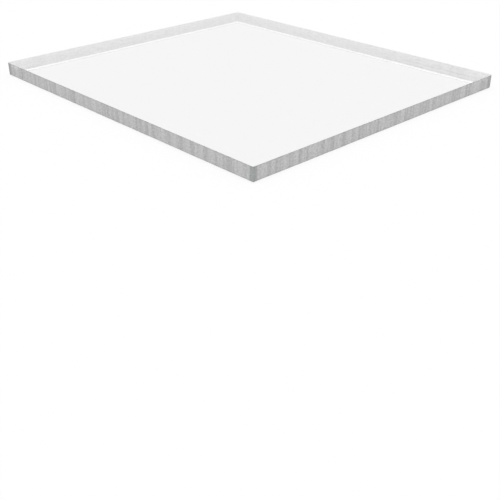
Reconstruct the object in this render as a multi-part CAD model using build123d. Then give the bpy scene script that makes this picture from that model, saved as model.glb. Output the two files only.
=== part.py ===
from build123d import *
import os

# A clear acrylic sheet: one piece of solid cast stock, sawn to size on all four
# sides and left sawn, with its two large faces as bright as they left the mould.
# X runs along the long side, Y along the short side and Z through the gauge.
# The origin is the middle of the underside. All sizes are in millimetres.

# Cut size of the sheet
sheet_length = 400.0
sheet_width = 350.0

# Gauge of the stock, a standard one for cast sheet
sheet_thickness = 15.0

# Upright corners, eased with a file after the four saw cuts
corner_radius = 1.5

# Arris: the bevel scraped where the sawn sides meet the large faces, both ways
arris = 1.0


def cut_outline():
    """The sheet's plan: a rectangle with its four corners eased."""
    blank = Rectangle(sheet_length, sheet_width)
    return fillet(blank.vertices(), corner_radius)


def scrape_arrises(blank):
    """The blank with the rim of its upper and lower face bevelled all round."""
    flat_rims = blank.faces().filter_by(Axis.Z).edges()
    return chamfer(flat_rims, arris)


def make_sheet():
    """The whole sheet, lying on its underside."""
    blank = extrude(cut_outline(), sheet_thickness)
    return scrape_arrises(blank)


acrylic_sheet = make_sheet()

os.makedirs("parts", exist_ok=True)
export_step(acrylic_sheet, "parts/acrylic_sheet.step")
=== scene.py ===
import math
import random

import bpy
import numpy as np
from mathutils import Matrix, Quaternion, Vector


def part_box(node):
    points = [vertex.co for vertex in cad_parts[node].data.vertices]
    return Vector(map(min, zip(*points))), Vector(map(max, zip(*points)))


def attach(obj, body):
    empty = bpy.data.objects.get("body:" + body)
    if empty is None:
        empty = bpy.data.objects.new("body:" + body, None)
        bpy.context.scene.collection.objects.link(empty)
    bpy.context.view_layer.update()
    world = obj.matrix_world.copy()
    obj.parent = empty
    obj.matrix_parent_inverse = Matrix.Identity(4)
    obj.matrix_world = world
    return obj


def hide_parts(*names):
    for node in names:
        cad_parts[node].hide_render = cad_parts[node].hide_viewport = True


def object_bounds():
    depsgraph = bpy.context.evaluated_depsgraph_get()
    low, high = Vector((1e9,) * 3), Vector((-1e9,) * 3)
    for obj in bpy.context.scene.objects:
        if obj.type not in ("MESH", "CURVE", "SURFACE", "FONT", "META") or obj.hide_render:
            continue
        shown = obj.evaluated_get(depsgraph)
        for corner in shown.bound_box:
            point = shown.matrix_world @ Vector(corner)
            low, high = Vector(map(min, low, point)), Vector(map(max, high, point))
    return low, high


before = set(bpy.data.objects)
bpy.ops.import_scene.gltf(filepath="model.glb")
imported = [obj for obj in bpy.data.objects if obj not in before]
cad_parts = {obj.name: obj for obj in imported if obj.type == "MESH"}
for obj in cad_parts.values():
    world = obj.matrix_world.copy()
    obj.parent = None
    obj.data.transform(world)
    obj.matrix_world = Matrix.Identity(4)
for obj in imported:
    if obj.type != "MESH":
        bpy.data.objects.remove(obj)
cad_low, cad_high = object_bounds()

# The viewpoint
# The sheet is looked at over one corner, from close by and a little above it,
# so that its long and short sides run away to the left and to the right.
view_turn = math.radians(46.81)
view_dip = math.radians(29.82)
view_roll = math.radians(-0.2)
view_distance = 0.5016
aim_right, aim_front = 0.2949, 0.2679
aim_below_top = 0.0009
lens_mm = 55.88

away_from_sheet = Vector((
    math.sin(view_turn) * math.cos(view_dip),
    -math.cos(view_turn) * math.cos(view_dip),
    math.sin(view_dip),
))
aim = Vector((aim_right, -aim_front, cad_high.z - aim_below_top))
camera = bpy.data.objects.new("camera", bpy.data.cameras.new("camera"))
camera.data.lens = lens_mm
camera.data.clip_start = 0.01
camera.location = aim + away_from_sheet * view_distance
camera.rotation_mode = "QUATERNION"
camera.rotation_quaternion = (
    away_from_sheet.to_track_quat("Z", "Y") @ Quaternion((0, 0, 1), view_roll)
)
bpy.context.scene.collection.objects.link(camera)
bpy.context.scene.camera = camera
bpy.context.scene.view_settings.view_transform = "Standard"

# The clear sheet
# One piece of cast acrylic. Its two large faces are as bright as they left the
# mould, its four sides are left as the saw cut them, and a scraper has taken the
# arrises off all round.
sheet_low, sheet_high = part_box("acrylic_sheet")
sheet_length = sheet_high.x - sheet_low.x
sheet_width = sheet_high.y - sheet_low.y
sheet_thickness = sheet_high.z - sheet_low.z
corner_radius = 0.0015
arris = 0.001
arris_wander = 0.00006

# How finely the rim is laid down, and the share of a side's turn that goes to its corner
column_pitch = 0.0005
corner_columns = 8
corner_turn = 0.04
wall_rows = 9
random.seed(24)


def rim_columns():
    """Each upright line of points round the rim: where it stands and which way it faces, how far
    round it is in metres and in sides, its side and nearest corner, how far that corner is, and
    whether the rim bends there."""
    half_x = sheet_length / 2 - corner_radius
    half_y = sheet_width / 2 - corner_radius
    corners = [Vector((x, y)) for x, y in
               ((-half_x, -half_y), (half_x, -half_y), (half_x, half_y), (-half_x, half_y))]
    columns = []
    walked = 0.0
    for side in range(4):
        start, end = corners[side], corners[(side + 1) % 4]
        run = end - start
        outward = Vector((run.y, -run.x)).normalized()
        steps = round(run.length / column_pitch)
        for step in range(steps):
            along = run.length * step / steps
            columns.append({
                "foot": start + run * step / steps,
                "outward": outward,
                "walked": walked,
                "side": side,
                "turn": side + corner_turn / 2 + (1 - corner_turn) * step / steps,
                "corner": side if along < run.length / 2 else (side + 1) % 4,
                "from_corner": corner_radius + min(along, run.length - along),
                "at_bend": step == 0,
            })
            walked += run.length / steps
        bearing = math.atan2(outward.y, outward.x)
        for step in range(corner_columns):
            angle = bearing + math.pi / 2 * step / corner_columns
            columns.append({
                "foot": end,
                "outward": Vector((math.cos(angle), math.sin(angle))),
                "walked": walked,
                "side": side,
                "turn": side + 1 - corner_turn / 2 + corner_turn * step / corner_columns,
                "corner": (side + 1) % 4,
                "from_corner": corner_radius * abs(step / corner_columns - 0.5),
                "at_bend": True,
            })
            walked += corner_radius * math.pi / 2 / corner_columns
    return columns, walked


columns, rim_length = rim_columns()

# The marks that the saw leaves: fine ones, and broader ones where the blade chattered.
# Their widths and gaps run between these shares of the usual ones, most of them are weak,
# and each has faded out at this many half widths from its middle.
fine_marks = {"spacing": 0.0032, "half_width": 0.0008, "weakest": 0.0}
chatter_marks = {"spacing": 0.015, "half_width": 0.0013, "weakest": 0.4}
mark_widths = (0.7, 1.5)
mark_gaps = (0.35, 1.65)
mark_weakness = 1.5
mark_depth = 0.00007
mark_lean = 0.04
mark_bow = 0.0004
mark_reach = 4


def saw_marks(spacing, half_width, weakest):
    """Places, sizes and strengths of the blade's marks, one after another round the rim."""
    marks = []
    place = 0.0
    while place < rim_length:
        marks.append({
            "place": place,
            "lean": random.gauss(0, mark_lean),
            "bow": random.gauss(0, mark_bow),
            "half_width": half_width * random.uniform(*mark_widths),
            "strength": weakest + (1 - weakest) * random.random() ** mark_weakness,
        })
        place += spacing * random.uniform(*mark_gaps)
    return marks


def mark_strengths(heights):
    """How deep the marks cut at each column and height, from 0 to 1 or a little more."""
    walked = np.array([column["walked"] for column in columns])[:, None]
    level = (np.array(heights)[None, :] - sheet_thickness / 2) / sheet_thickness
    depth = np.zeros((len(columns), len(heights)))
    for mark in saw_marks(**fine_marks) + saw_marks(**chatter_marks):
        reach = mark_reach * mark["half_width"]
        ends = mark["place"] - reach, mark["place"] + reach
        near = slice(*np.searchsorted(walked[:, 0], ends))
        leaning = mark["lean"] * level * sheet_thickness
        bowed = mark["bow"] * (4 * level ** 2 - 1)
        middle = mark["place"] + leaning + bowed
        offset = (walked[near] - middle) / mark["half_width"]
        depth[near] += mark["strength"] * np.exp(-offset ** 2)
    return depth


# Painted shade at each corner, standing for light that leaves the frost by the other side:
# the tone there, how far it stays at that tone, and where it has faded out. They run from the
# left corner round by the front one. Past two of them a painted gleam stands for a little
# light that comes back, at this place along the wall and near its top.
painted_corner_shade_and_gleam = (
    {"tone": (0.72, 0.72, 0.72), "holds": 0.001, "fades": 0.0105, "painted_gleam": 0.25},
    {"tone": (0.66, 0.70, 0.69), "holds": 0.0029, "fades": 0.0051, "painted_gleam": 0.0},
    {"tone": (0.735, 0.735, 0.735), "holds": 0.0045, "fades": 0.009, "painted_gleam": 0.17},
    {"tone": (0.80, 0.80, 0.80), "holds": 0.005, "fades": 0.014, "painted_gleam": 0.0},
)
gleam_place = 0.016
gleam_half_width = 0.0088
gleam_full_down_to, gleam_gone_by = 0.0027, 0.0063


def smooth_step(value, low, high):
    """0 up to low, 1 from high on, and an easy slope between them."""
    share = min(max((value - low) / (high - low), 0.0), 1.0)
    return share * share * (3 - 2 * share)


def painted_corner_light(column, height):
    """The colour that the frost's own grey is multiplied by near a corner: painted shade, and
    beside two corners a painted gleam.
    """
    corner = painted_corner_shade_and_gleam[column["corner"]]
    away = smooth_step(column["from_corner"], corner["holds"], corner["fades"])
    beside = math.exp(-((column["from_corner"] - gleam_place) / gleam_half_width) ** 2)
    high_up = 1 - smooth_step(sheet_thickness - height, gleam_full_down_to, gleam_gone_by)
    painted_gleam = corner["painted_gleam"] * beside * high_up
    return [part + (1 - part) * away + painted_gleam for part in corner["tone"]] + [1.0]


# The rings of points on a large face, coarser further in: how far in each is, and its steps
# along a long side and a short one
face_rings = (
    {"inset": 0.004, "long_steps": 200, "short_steps": 175},
    {"inset": 0.012, "long_steps": 50, "short_steps": 44},
    {"inset": 0.04, "long_steps": 12, "short_steps": 10},
)


def ring_of_points(inset, long_steps, short_steps):
    """(turn, place) round a plain rectangle, this far inside the sheet's outline."""
    half_x, half_y = sheet_length / 2 - inset, sheet_width / 2 - inset
    corners = ((-half_x, -half_y), (half_x, -half_y), (half_x, half_y), (-half_x, half_y))
    ring = []
    for side in range(4):
        start, end = Vector(corners[side]), Vector(corners[(side + 1) % 4])
        steps = (long_steps, short_steps)[side % 2]
        for step in range(steps):
            ring.append((side + step / steps, start + (end - start) * step / steps))
    return ring


def stitch(outer, inner):
    """Triangles that join two rings of (turn, vertex), facing up if both run anticlockwise."""
    # Each ring ends where it starts, four sides further on.
    outer_turns, outer_vertices = zip(*outer, (outer[0][0] + 4, outer[0][1]))
    inner_turns, inner_vertices = zip(*inner, (inner[0][0] + 4, inner[0][1]))
    triangles = []
    far_out, far_in = 0, 0
    while far_out < len(outer) or far_in < len(inner):
        here = outer_vertices[far_out], inner_vertices[far_in]
        if far_in == len(inner):
            outer_goes_on = True
        elif far_out == len(outer):
            outer_goes_on = False
        else:
            outer_goes_on = outer_turns[far_out + 1] <= inner_turns[far_in + 1]
        if outer_goes_on:
            far_out += 1
            triangles.append((here[0], outer_vertices[far_out], here[1]))
        else:
            far_in += 1
            triangles.append((here[0], inner_vertices[far_in], here[1]))
    return triangles


# The sheet's finishes, in the order of its materials
POLISHED, SCRAPED, SAWN, SEEN_INSIDE = range(4)

# Where each side's strips and the two flat faces lie on the sheet's map, as shares of it
strip_left, strip_wide = 0.01, 0.98
wall_strips = {"low": 0.02, "step": 0.065, "high": 0.055}
ring_strips = {"low": 0.285, "step": 0.105, "high": 0.095}
flat_low, flat_wide = 0.70, 0.28
flat_left = {"top": 0.01, "underside": 0.31}

# The mesh as it is laid down: each point with the saw mark it has and its painted corner
# shade and gleam, and each face with its finish and with where it lies round the rim and on the map
points, point_marks, point_painted_light = [], [], []
faces, finishes, rim_places, map_places = [], [], [], []


def lay_point(place, height, mark=0.0, tone=(1.0, 1.0, 1.0, 1.0)):
    """One point of the mesh, this high above the underside."""
    points.append((place.x, place.y, sheet_low.z + height))
    point_marks.append(mark)
    point_painted_light.append(tone)


# How far round the rim each side starts, and where the last one ends
side_starts = [min(column["walked"] for column in columns if column["side"] == side)
               for side in range(4)] + [rim_length]


def lay_band(uprights, rings, heights_up, shares_up, strips, finish):
    """Faces between two rings of points. heights_up are how far each ring is up the rim, and
    shares_up how far up the map's strips."""
    for index, column in enumerate(uprights):
        after = (index + 1) % len(uprights)
        here, there = column["walked"], uprights[after]["walked"] if after else rim_length
        faces.append((rings[0] + index, rings[0] + after, rings[1] + after, rings[1] + index))
        finishes.append(finish)
        start, end = side_starts[column["side"]], side_starts[column["side"] + 1]
        foot = strips["low"] + strips["step"] * column["side"]
        for walked, ring in ((here, 0), (there, 0), (there, 1), (here, 1)):
            rim_places.append((walked, heights_up[ring]))
            map_places.append((strip_left + strip_wide * (walked - start) / (end - start),
                               foot + strips["high"] * shares_up[ring]))


# The outside of the rim: the lower bevel, scraped like the upper one but given the wall's dull
# sawn finish as painted shade at the foot, the sawn wall in its rows, and the clear upper
# bevel. The scraper strays off its line in slow waves, so many of each kind in one round of
# the rim.
wave_counts = (5, 11, 23, 41)
wave_sizes = (0.3, 1.0)
wall_height = sheet_thickness - 2 * arris
wall_heights = [arris + wall_height * row / (wall_rows - 1) for row in range(wall_rows)]
wall_marks = mark_strengths(wall_heights)
bevel_slope = arris * math.sqrt(2)
way_up = [0.0] + [bevel_slope + height - arris for height in wall_heights]
way_up.append(way_up[-1] + bevel_slope)
scraper_waves = [(random.uniform(*wave_sizes), count, random.uniform(0, math.tau))
                 for count in wave_counts]


def scraper_strays(column):
    """How far the scraper went off its line here, one way or the other."""
    angle = math.tau * column["walked"] / rim_length
    return arris_wander * sum(size * math.sin(count * angle + start)
                              for size, count, start in scraper_waves)


def lay_bevel_end(height):
    """The ring of points where a bevel meets a flat face, as the number of its first point."""
    first = len(points)
    for column in columns:
        out = corner_radius - arris - scraper_strays(column)
        place = column["foot"] + column["outward"] * out
        lay_point(place, height, 0.0, painted_corner_light(column, height))
    return first


def lay_wall_row(height, depths):
    """One row of the wall's points, sunk where a saw mark is, as the number of its first point."""
    first = len(points)
    for column, depth in zip(columns, depths):
        out = corner_radius - mark_depth * min(depth, 1.0)
        place = column["foot"] + column["outward"] * out
        lay_point(place, height, depth, painted_corner_light(column, height))
    return first


rim_rings = [lay_bevel_end(0.0)]
for row, height in enumerate(wall_heights):
    rim_rings.append(lay_wall_row(height, wall_marks[:, row]))
rim_rings.append(lay_bevel_end(sheet_thickness))
for band in range(len(rim_rings) - 1):
    heights_up = way_up[band:band + 2]
    # The lower bevel takes the sawn finish as painted shade at the foot.
    finish = SCRAPED if band == len(rim_rings) - 2 else SAWN
    lay_band(columns, rim_rings[band:band + 2], heights_up,
             [height_up / way_up[-1] for height_up in heights_up], wall_strips, finish)


def lay_flat_face(side, rim, height):
    """A large face, from its rim's fine points to one big polygon in the middle."""
    first_face = len(faces)
    outer = [(column["turn"], rim + index) for index, column in enumerate(columns)]
    for face_ring in face_rings:
        inner = []
        for turn, place in ring_of_points(**face_ring):
            inner.append((turn, len(points)))
            lay_point(place, height)
        faces.extend(stitch(outer, inner))
        outer = inner
    faces.append([vertex for _, vertex in outer])
    for number in range(first_face, len(faces)):
        if side == "underside":
            faces[number] = faces[number][::-1]
        finishes.append(POLISHED)
        for vertex in faces[number]:
            x, y, _ = points[vertex]
            rim_places.append((x, y))
            map_places.append((flat_left[side] + flat_wide * (x / sheet_length + 0.5),
                               flat_low + flat_wide * (y / sheet_length + 0.5)))


lay_flat_face("top", rim_rings[-1], sheet_thickness)
lay_flat_face("underside", rim_rings[0], 0.0)

# The frost as it looks from inside, painted paler than from outside as light from the room
# comes through it: a closed ring of its own, hair-thin, with its outer and its inner side this
# far within the walls. It stands a little higher than they do, under the clear bevel, so that
# nobody looks over it.
ring_outside, ring_inside = 0.00015, 0.0002
ring_rise = 0.00006


def lay_inner_ring():
    """The ring's faces, traced up its outer side and then down its inner one."""
    bends = [column for column in columns if column["at_bend"]]
    # Each turn of its cross-section: how far inside the wall, how high, how far up the rim
    traced = []
    for depth in (ring_outside, ring_inside):
        past_bevel = depth * (math.sqrt(2) - 1)
        climb = [(arris + past_bevel, depth, 0.0),
                 (depth, arris + past_bevel, bevel_slope),
                 (depth, sheet_thickness - arris + ring_rise, way_up[-2])]
        traced.extend(climb if depth == ring_outside else climb[::-1])
    rings = []
    for inset, height, _ in traced:
        rings.append(len(points))
        for column in bends:
            lay_point(column["foot"] + column["outward"] * (corner_radius - inset), height)
    traced.append(traced[0])
    rings.append(rings[0])
    gone = [0.0]
    for before, after in zip(traced, traced[1:]):
        gone.append(gone[-1] + math.dist(before[:2], after[:2]))
    for band in range(len(rings) - 1):
        heights_up = [height_up for _, _, height_up in traced[band:band + 2]]
        lay_band(bends, rings[band:band + 2], heights_up,
                 [way / gone[-1] for way in gone[band:band + 2]], ring_strips, SEEN_INSIDE)


lay_inner_ring()

sheet_mesh = bpy.data.meshes.new("clear_sheet")
sheet_mesh.from_pydata(points, [], faces)
sheet_mesh.polygons.foreach_set("material_index", finishes)
saw_mark = sheet_mesh.attributes.new("saw_mark", "FLOAT", "POINT")
saw_mark.data.foreach_set("value", point_marks)
# Each point's painted corner shade and gleam, for the sawn frost's grey to be multiplied by
painted_corner_layer = sheet_mesh.attributes.new("painted_corner_light", "FLOAT_COLOR", "POINT")
painted_corner_layer.data.foreach_set("color", np.ravel(point_painted_light))
sheet_mesh.uv_layers.new(name="rim").data.foreach_set("uv", np.ravel(rim_places))
sheet_mesh.uv_layers.new(name="OFBake").data.foreach_set("uv", np.ravel(map_places))
sheet_mesh.update()


def add_node(tree, kind, inputs, **settings):
    """A new node with its inputs linked, where the value is another node's output, or set."""
    node = tree.nodes.new(kind)
    for name, value in settings.items():
        setattr(node, name, value)
    for name, value in inputs.items():
        if isinstance(value, bpy.types.NodeSocket):
            tree.links.new(value, node.inputs[name])
        else:
            node.inputs[name].default_value = value
    return node


def combine(tree, operation, *values):
    """The values put through one sum of this kind."""
    return add_node(tree, "ShaderNodeMath", dict(enumerate(values)), operation=operation).outputs[0]


def total(tree, base, parts):
    """base plus each (value, weight) part."""
    for value, weight in parts:
        base = combine(tree, "MULTIPLY_ADD", value, weight, base)
    return base


def fade(tree, value, low, high):
    """0 below low and 1 above high, or the other way round where low is the higher one."""
    limits = {"Value": value, "From Min": min(low, high), "From Max": max(low, high)}
    limits.update({"To Min": float(low > high), "To Max": float(low < high)})
    slope = add_node(tree, "ShaderNodeMapRange", limits, interpolation_type="SMOOTHSTEP")
    return slope.outputs["Result"]


def new_group(name, inputs, outputs):
    """An empty node group with these sockets, as (group, its entry, its way out)."""
    group = bpy.data.node_groups.new(name, "ShaderNodeTree")
    for label, kind in inputs:
        group.interface.new_socket(label, in_out="INPUT", socket_type=kind)
    for label, kind in outputs:
        group.interface.new_socket(label, in_out="OUTPUT", socket_type=kind)
    return group, group.nodes.new("NodeGroupInput"), group.nodes.new("NodeGroupOutput")


def drawn_grain_group():
    """Grain drawn out by a tool's travel, from about -0.5 to 0.5."""
    group, entry, leave = new_group(
        "drawn_grain",
        (("Place", "NodeSocketVector"), ("Lines per metre", "NodeSocketVector"),
         ("Detail", "NodeSocketFloat")),
        (("Grain", "NodeSocketFloat"),))
    scaled = add_node(group, "ShaderNodeVectorMath",
                      {0: entry.outputs["Place"], 1: entry.outputs["Lines per metre"]},
                      operation="MULTIPLY")
    noise = add_node(group, "ShaderNodeTexNoise",
                     {"Vector": scaled.outputs[0], "Scale": 1.0, "Detail": entry.outputs["Detail"]})
    group.links.new(combine(group, "SUBTRACT", noise.outputs["Fac"], 0.5), leave.inputs["Grain"])
    return group


drawn_grain = drawn_grain_group()


def grain(tree, place, lines_per_metre, detail):
    """The drawn grain with these lines per metre each way, placed in a material."""
    inputs = {"Place": place, "Lines per metre": lines_per_metre, "Detail": detail}
    return add_node(tree, "ShaderNodeGroup", inputs, node_tree=drawn_grain).outputs["Grain"]


def saw_cut_group():
    """What a saw cut shows round the rim, inside as well as out: narrow streaks, broad bands
    and frost, each with its lines per metre and its detail."""
    outputs = (("Streaks", (220.0, 12.0, 0.0), 0.5),
               ("Bands", (80.0, 6.0, 0.0), 1.0),
               ("Frost", (420.0, 600.0, 0.0), 2.0))
    group, entry, leave = new_group("saw_cut", (("Place", "NodeSocketVector"),),
                                    [(label, "NodeSocketFloat") for label, _, _ in outputs])
    for label, lines_per_metre, detail in outputs:
        marks = grain(group, entry.outputs["Place"], lines_per_metre, detail)
        group.links.new(marks, leave.inputs[label])
    return group


saw_cut = saw_cut_group()


def new_material(name):
    """An empty node material, as (material, its tree, its output)."""
    material = bpy.data.materials.new(name)
    material.use_nodes = True
    material.node_tree.nodes.clear()
    return material, material.node_tree, material.node_tree.nodes.new("ShaderNodeOutputMaterial")


def saw_cut_on_rim(tree):
    """(place round the rim, height, streaks, bands, frost), on either side of a wall."""
    rim = add_node(tree, "ShaderNodeUVMap", {}, uv_map="rim").outputs["UV"]
    place = add_node(tree, "ShaderNodeTexCoord", {}).outputs["Object"]
    height = add_node(tree, "ShaderNodeSeparateXYZ", {0: place}).outputs["Z"]
    cut = add_node(tree, "ShaderNodeGroup", {"Place": rim}, node_tree=saw_cut).outputs
    return rim, height, cut["Streaks"], cut["Bands"], cut["Frost"]


def grey(tree, shade):
    """A colour that is as much red as green and blue."""
    parts = {"Red": shade, "Green": shade, "Blue": shade}
    return add_node(tree, "ShaderNodeCombineColor", parts).outputs[0]


frost_roughness = 0.6


def frosted_surface(tree, output, colour, roughness, streaks, frost):
    """Dull plastic, faintly ribbed and pitted."""
    relief = combine(tree, "ADD", frost, streaks)
    bump = add_node(tree, "ShaderNodeBump",
                    {"Strength": 0.25, "Distance": 0.0001, "Height": relief})
    shader = add_node(tree, "ShaderNodeBsdfPrincipled",
                      {"Base Color": colour, "Roughness": roughness, "Normal": bump.outputs[0]})
    tree.links.new(shader.outputs[0], output.inputs["Surface"])


def sawn_finish():
    """The walls from outside: frosted grey, with upright ribs that keep within a dark and a
    light limit, darker along the top, with painted shade along the foot, and with painted
    shade and a painted gleam near the corners."""
    darkest_grey = 0.445
    cut_at_darkest, cut_at_lightest = -0.1, 0.05
    top_darkens, top_darkest = sheet_high.z - 0.0024, sheet_high.z - 0.0012
    foot_darkens, foot_darkest = sheet_low.z + 0.0022, sheet_low.z + 0.0006
    material, tree, output = new_material("sawn_frost")
    _, height, streaks, bands, frost = saw_cut_on_rim(tree)
    mark = add_node(tree, "ShaderNodeAttribute", {}, attribute_name="saw_mark").outputs["Fac"]
    # The painted corner shade and gleam that each point carries
    tone = add_node(tree, "ShaderNodeAttribute", {}, attribute_name="painted_corner_light").outputs["Color"]
    near_top = fade(tree, height, top_darkens, top_darkest)
    # Painted shade along the foot, where the wall stands on the floor
    painted_foot_shade = fade(tree, height, foot_darkens, foot_darkest)
    cut = total(tree, 0.0, ((streaks, 0.25), (bands, 0.28), (mark, -0.06)))
    ribs = fade(tree, cut, cut_at_darkest, cut_at_lightest)
    shade = total(tree, darkest_grey, (
        (ribs, 0.11), (frost, 0.42), (near_top, -0.055), (painted_foot_shade, -0.05),
    ))
    # A Mix node's two colours go in at sockets 6 and 7, and the mixed one comes out at 2.
    colour = add_node(tree, "ShaderNodeMix", {0: 1.0, 6: grey(tree, shade), 7: tone},
                      data_type="RGBA", blend_type="MULTIPLY").outputs[2]
    roughness = total(tree, frost_roughness, ((frost, 0.2), (mark, 0.1)))
    frosted_surface(tree, output, colour, roughness, streaks, frost)
    return material


def painted_lit_inside_finish():
    """The walls as they look through the clear faces: wispy, painted pale as light that comes
    through the frost, with painted light brightest at the foot and a little more towards the
    left and the right corner."""
    # The pale grey is painted light, a lit copy of the frost's grey
    painted_lit_grey = 0.882
    wall_darkens, wall_darkest = sheet_high.z - 0.002, sheet_low.z + 0.004
    foot_brightens, foot_brightest = sheet_low.z + 0.0019, sheet_low.z + 0.0016
    corner_brightens, corner_brightest = 0.04, 0.002
    material, tree, output = new_material("frost_inside_painted_lit")
    rim, height, streaks, bands, frost = saw_cut_on_rim(tree)
    wisps = grain(tree, rim, (100.0, 400.0, 0.0), 3.0)
    lower_down = fade(tree, height, wall_darkens, wall_darkest)
    # Painted light along the foot, on the lower bevel and just above it
    painted_foot_light = fade(tree, height, foot_brightens, foot_brightest)

    # The rim is measured from the left corner, and the right one is halfway round it.
    half_round = rim_length / 2
    round_rim = add_node(tree, "ShaderNodeSeparateXYZ", {0: rim}).outputs["X"]
    from_corner = combine(tree, "PINGPONG", round_rim, half_round / 2)
    # Painted light near the left and the right corner
    painted_corner_lift = fade(tree, from_corner, corner_brightens, corner_brightest)

    # Two long darker lines, this far apart, run along the rear wall low down. Their middle is
    # this far past the right corner, and the pale one between them this high.
    line_spacing, between_lines = 0.004, 0.0046
    past_corner, lines_end, lines_whole = 0.06, 0.06, 0.035
    lines_gone_above, lines_whole_below = sheet_low.z + 0.009, sheet_low.z + 0.0075
    from_their_middle = combine(tree, "SUBTRACT", round_rim, half_round + past_corner)
    lined = fade(tree, combine(tree, "ABSOLUTE", from_their_middle), lines_end, lines_whole)
    low_down = fade(tree, height, lines_gone_above, lines_whole_below)
    off_pale_line = combine(tree, "SUBTRACT", height, sheet_low.z + between_lines)
    wave_angle = combine(tree, "MULTIPLY", off_pale_line, math.tau / line_spacing)
    waves = combine(tree, "MULTIPLY", combine(tree, "COSINE", wave_angle), low_down)
    long_lines = combine(tree, "MULTIPLY", waves, lined)

    shade = total(tree, painted_lit_grey, (
        (streaks, 0.07), (bands, 0.07), (frost, 0.28), (wisps, 0.24),
        (lower_down, -0.04), (painted_foot_light, 0.3), (painted_corner_lift, 0.065), (long_lines, 0.042),
    ))
    roughness = total(tree, frost_roughness, ((frost, 0.2),))
    frosted_surface(tree, output, grey(tree, shade), roughness, streaks, frost)
    return material


def clear_surface(tree, output, roughness, normal):
    """Clear plastic: what lies behind shows straight through, under a thin shine at a slant."""
    clear_tint = (0.97, 0.97, 0.97, 1)
    shine_colour = (0.92, 0.92, 0.92, 1)
    refractive_index = 1.49
    behind = add_node(tree, "ShaderNodeBsdfTransparent", {"Color": clear_tint})
    shine = add_node(tree, "ShaderNodeBsdfGlossy",
                     {"Color": shine_colour, "Roughness": roughness, "Normal": normal})
    fresnel = add_node(tree, "ShaderNodeFresnel", {"IOR": refractive_index})
    backfacing = tree.nodes.new("ShaderNodeNewGeometry").outputs["Backfacing"]
    front = combine(tree, "SUBTRACT", 1.0, backfacing)
    share = combine(tree, "MULTIPLY", fresnel.outputs[0], front)
    blend = add_node(tree, "ShaderNodeMixShader",
                     {0: share, 1: behind.outputs[0], 2: shine.outputs[0]})
    tree.links.new(blend.outputs[0], output.inputs["Surface"])


def polished_finish():
    """Bright cast faces, with the faint haze and hairlines of handling."""
    polished_roughness = 0.03
    material, tree, output = new_material("polished_face")
    place = add_node(tree, "ShaderNodeTexCoord", {}).outputs["Object"]
    haze = grain(tree, place, (18.0, 18.0, 18.0), 3.0)
    hairlines = grain(tree, place, (900.0, 30.0, 0.0), 2.0)
    bump = add_node(tree, "ShaderNodeBump",
                    {"Strength": 0.02, "Distance": 0.00002, "Height": hairlines})
    roughness = total(tree, polished_roughness, ((haze, 0.05),))
    clear_surface(tree, output, roughness, bump.outputs[0])
    return material


def scraped_finish():
    """The bevel that a scraper draws along each edge: clear, with fine lines along its travel."""
    scraped_roughness = 0.18
    material, tree, output = new_material("scraped_arris")
    rim = add_node(tree, "ShaderNodeUVMap", {}, uv_map="rim").outputs["UV"]
    lines = grain(tree, rim, (40.0, 6000.0, 0.0), 3.0)
    bump = add_node(tree, "ShaderNodeBump",
                    {"Strength": 0.3, "Distance": 0.00002, "Height": lines})
    roughness = total(tree, scraped_roughness, ((lines, 0.25),))
    clear_surface(tree, output, roughness, bump.outputs[0])
    return material


sheet = bpy.data.objects.new("clear_sheet", sheet_mesh)
sheet.data.materials.append(polished_finish())
sheet.data.materials.append(scraped_finish())
sheet.data.materials.append(sawn_finish())
sheet.data.materials.append(painted_lit_inside_finish())
bpy.context.scene.collection.objects.link(sheet)
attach(sheet, "root")
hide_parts("acrylic_sheet")

# The floor
# A plain white floor that runs on past the picture, a hair below the sheet.
floor_reach = 12.0
floor_gap = 0.0002
floor_glow = 0.8
floor_mesh = bpy.data.meshes.new("floor")
floor_height = sheet_low.z - floor_gap
floor_corners = [(x * floor_reach, y * floor_reach, floor_height)
                 for x, y in ((-1, -1), (1, -1), (1, 1), (-1, 1))]
floor_mesh.from_pydata(floor_corners, [], [(0, 1, 2, 3)])
floor = bpy.data.objects.new("floor", floor_mesh)
bpy.context.scene.collection.objects.link(floor)


def seen_directly(tree):
    """1 for what the eye sees, straight, mirrored or through glass, and 0 for light on its way."""
    path = tree.nodes.new("ShaderNodeLightPath").outputs
    mirrored = combine(tree, "MAXIMUM", path["Is Camera Ray"], path["Is Glossy Ray"])
    return combine(tree, "MAXIMUM", mirrored, path["Is Transmission Ray"])


def floor_finish():
    """White that keeps a soft shadow, part lit and part its own even white."""
    material, tree, output = new_material("floor_white")
    lit = add_node(tree, "ShaderNodeBsdfDiffuse", {"Color": (0.98, 0.98, 0.98, 1)})
    even = tree.nodes.new("ShaderNodeEmission")
    share = combine(tree, "MULTIPLY", seen_directly(tree), floor_glow)
    blend = add_node(tree, "ShaderNodeMixShader", {0: share, 1: lit.outputs[0], 2: even.outputs[0]})
    tree.links.new(blend.outputs[0], output.inputs["Surface"])
    return material


floor_mesh.materials.append(floor_finish())

# The light
# A white room all round, and one broad soft lamp overhead.
room_light = 0.72
lamp_light = 0.31
lamp_tilt = math.radians(15)
lamp_spread = math.radians(70)
world = bpy.data.worlds.new("white_room")
bpy.context.scene.world = world
world.use_nodes = True
world.node_tree.nodes.clear()
strength = add_node(world.node_tree, "ShaderNodeMapRange",
                    {"Value": seen_directly(world.node_tree), "To Min": room_light, "To Max": 1.0})
room = add_node(world.node_tree, "ShaderNodeBackground",
                {"Color": (1, 1, 1, 1), "Strength": strength.outputs["Result"]})
add_node(world.node_tree, "ShaderNodeOutputWorld", {"Surface": room.outputs[0]})

lamp = bpy.data.objects.new("overhead_lamp", bpy.data.lights.new("overhead_lamp", "SUN"))
lamp.data.energy = lamp_light * math.pi
lamp.data.angle = lamp_spread
lamp.visible_glossy = False
lamp.rotation_euler = (lamp_tilt, 0, view_turn)
bpy.context.scene.collection.objects.link(lamp)
